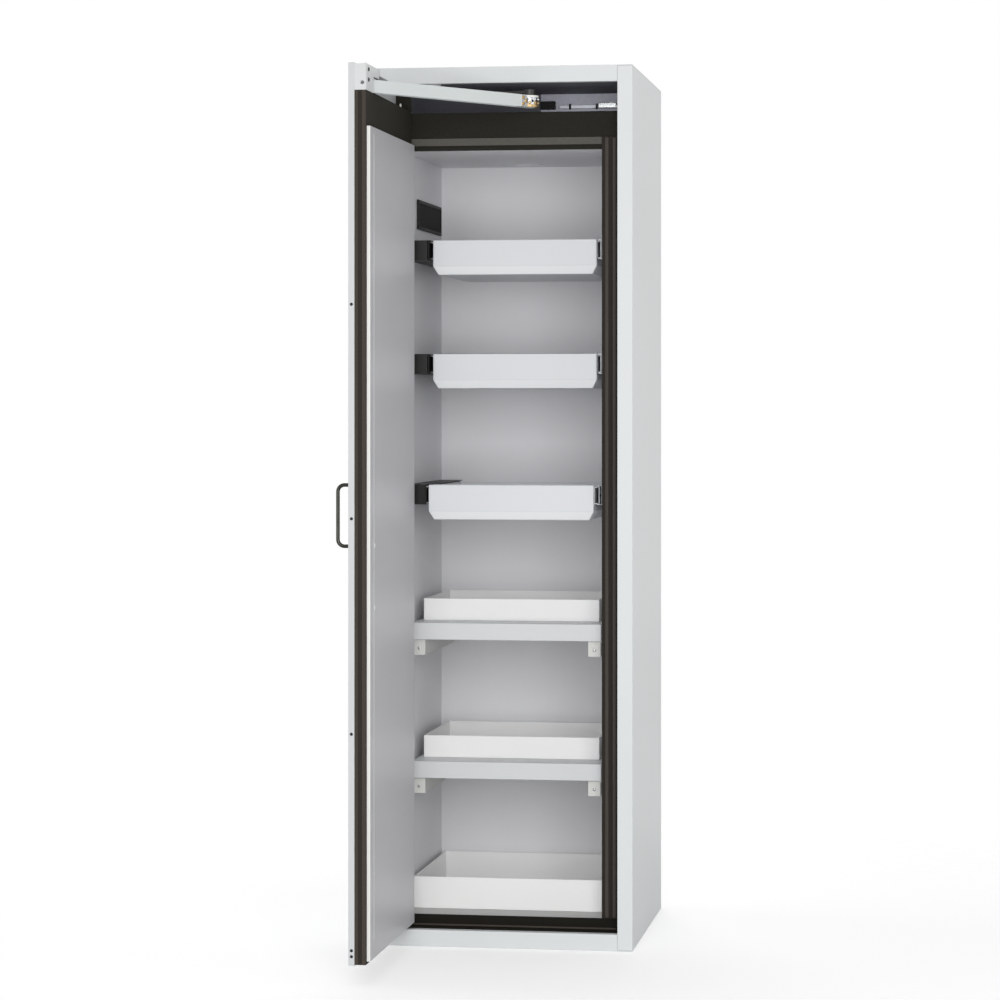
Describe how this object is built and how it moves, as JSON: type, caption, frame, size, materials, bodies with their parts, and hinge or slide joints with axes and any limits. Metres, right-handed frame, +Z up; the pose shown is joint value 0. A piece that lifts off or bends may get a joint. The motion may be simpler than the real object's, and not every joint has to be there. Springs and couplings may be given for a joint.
{
  "type": "hazardous materials safety cabinet",
  "caption": "Tall fire-resistant safety cabinet with a wing door on a scissor closer, sliding drawers, shelves with lift-out spill trays and a floor sump.",
  "frame": {"origin": "on the floor under the middle of the cabinet's plan, without the open door", "axes": "+Z up, -Y out of the front, +X to the right as seen from the front"},
  "size_m": [0.6, 1.1036, 1.998],
  "materials": {
    "cabinet_paint": "light grey powder coat, satin",
    "door_paint": "light grey powder coat, satin",
    "inner_board": "fire-resistant board with a grey melamine face, semi-matt",
    "door_inner_board": "grey melamine-faced panel, semi-matt",
    "dark_board": "dark brown-black fire board, matt",
    "seal_strip": "brown intumescent strip, matt",
    "galvanised_steel": "galvanised sheet",
    "pale_coated_steel": "pale grey coated sheet",
    "zinc_steel": "zinc-plated steel",
    "black_plastic": "black moulded grille, matt",
    "drawer_paint": "light grey powder coat, satin",
    "black_steel": "black-coated steel runner",
    "runner_steel": "bright zinc-plated runner",
    "shelf_paint": "light grey powder coat, satin",
    "rail_paint": "off-white coated steel",
    "white_plastic": "white polypropylene, semi-gloss",
    "dark_chrome": "dark chrome plating"
  },
  "bodies": {
    "cabinet": {"side_panel_left": "cabinet_paint", "side_panel_right": "cabinet_paint", "top_panel": "cabinet_paint", "base_panel": "cabinet_paint", "back_panel": "cabinet_paint", "wall_left": "inner_board", "wall_right": "inner_board", "wall_base": "inner_board", "wall_top": "inner_board", "wall_back": "inner_board", "roof_board": "dark_board", "header_board": "dark_board", "sill_strip": "dark_board", "jamb_strip_left": "seal_strip", "jamb_strip_right": "seal_strip", "lintel_strip": "seal_strip", "recess_plate": "galvanised_steel", "exhaust_spigot": "galvanised_steel", "closer_bracket": "zinc_steel", "pivot_pin_top": "zinc_steel", "pivot_pin_bottom": "zinc_steel", "intake_grille": "black_plastic", "drawer_1_runner_outer_left": "black_steel", "drawer_1_runner_outer_right": "runner_steel", "drawer_2_runner_outer_left": "black_steel", "drawer_2_runner_outer_right": "runner_steel", "drawer_3_runner_outer_left": "black_steel", "drawer_3_runner_outer_right": "runner_steel", "shelf_upper": "shelf_paint", "shelf_lower": "shelf_paint", "shelf_rail_upper_left": "rail_paint", "shelf_rail_upper_right": "rail_paint", "shelf_rail_lower_left": "rail_paint", "shelf_rail_lower_right": "rail_paint"},
    "door": {"door_skin": "door_paint", "door_core": "dark_board", "door_edge_strip": "seal_strip", "door_inner_panel": "door_inner_board", "door_top_channel": "pale_coated_steel", "door_handle": "dark_chrome"},
    "lock": {"lock_cylinder": "dark_chrome"},
    "closer_arm": {"closer_arm": "pale_coated_steel"},
    "closer_lever": {"closer_lever": "black_steel"},
    "runner_middle_1": {"drawer_1_runner_middle_left": "runner_steel", "drawer_1_runner_middle_right": "runner_steel"},
    "drawer_1": {"drawer_1_front": "drawer_paint", "drawer_1_tray": "drawer_paint"},
    "runner_middle_2": {"drawer_2_runner_middle_left": "runner_steel", "drawer_2_runner_middle_right": "runner_steel"},
    "drawer_2": {"drawer_2_front": "drawer_paint", "drawer_2_tray": "drawer_paint"},
    "runner_middle_3": {"drawer_3_runner_middle_left": "runner_steel", "drawer_3_runner_middle_right": "runner_steel"},
    "drawer_3": {"drawer_3_front": "drawer_paint", "drawer_3_tray": "drawer_paint"},
    "tray_upper": {"tray_upper": "white_plastic"},
    "tray_lower": {"tray_lower": "white_plastic"},
    "sump_tray": {"sump_tray": "white_plastic"}
  },
  "joints": [
    {"name": "door_hinge", "type": "hinge", "parent": "cabinet", "child": "door", "pos_m": [-0.2322, -0.3002, 0], "axis": [0, 0, -1], "range_deg": [-90, 0]},
    {"name": "lock_turn", "type": "hinge", "parent": "door", "child": "lock", "pos_m": [-0.238, -0.7511, 0.838], "axis": [-1, 0, 0], "range_deg": [0, 90]},
    {"name": "closer_arm_pivot", "type": "hinge", "parent": "door", "child": "closer_arm", "pos_m": [-0.212, -0.7074, 1.873], "axis": [0, 0, -1], "range_deg": [-11.29, 0]},
    {"name": "closer_lever_pivot", "type": "hinge", "parent": "cabinet", "child": "closer_lever", "pos_m": [-0.1536, -0.28, 1.894], "axis": [0, 0, -1], "range_deg": [-127.77, 0]},
    {"name": "drawer_1_slide", "type": "slide", "parent": "cabinet", "child": "drawer_1", "axis": [0, -1, 0], "range_m": [0, 0.41]},
    {"name": "runner_1_slide", "type": "slide", "parent": "cabinet", "child": "runner_middle_1", "axis": [0, -1, 0], "range_m": [0, 0.205]},
    {"name": "drawer_2_slide", "type": "slide", "parent": "cabinet", "child": "drawer_2", "axis": [0, -1, 0], "range_m": [0, 0.41]},
    {"name": "runner_2_slide", "type": "slide", "parent": "cabinet", "child": "runner_middle_2", "axis": [0, -1, 0], "range_m": [0, 0.205]},
    {"name": "drawer_3_slide", "type": "slide", "parent": "cabinet", "child": "drawer_3", "axis": [0, -1, 0], "range_m": [-0.058, 0.352]},
    {"name": "runner_3_slide", "type": "slide", "parent": "cabinet", "child": "runner_middle_3", "axis": [0, -1, 0], "range_m": [-0.029, 0.176]},
    {"name": "tray_upper_lift", "type": "slide", "parent": "cabinet", "child": "tray_upper", "axis": [0, 0, 1], "range_m": [0, 0.06]},
    {"name": "tray_lower_lift", "type": "slide", "parent": "cabinet", "child": "tray_lower", "axis": [0, 0, 1], "range_m": [0, 0.06]},
    {"name": "sump_tray_lift", "type": "slide", "parent": "cabinet", "child": "sump_tray", "axis": [0, 0, 1], "range_m": [0, 0.06]}
  ],
  "couplings": [
    {"joint": "closer_arm_pivot", "follows": "door_hinge", "ratio": 0.12545},
    {"joint": "closer_lever_pivot", "follows": "door_hinge", "ratio": 1.4196},
    {"joint": "runner_1_slide", "follows": "drawer_1_slide", "ratio": 0.5},
    {"joint": "runner_2_slide", "follows": "drawer_2_slide", "ratio": 0.5},
    {"joint": "runner_3_slide", "follows": "drawer_3_slide", "ratio": 0.5}
  ]
}
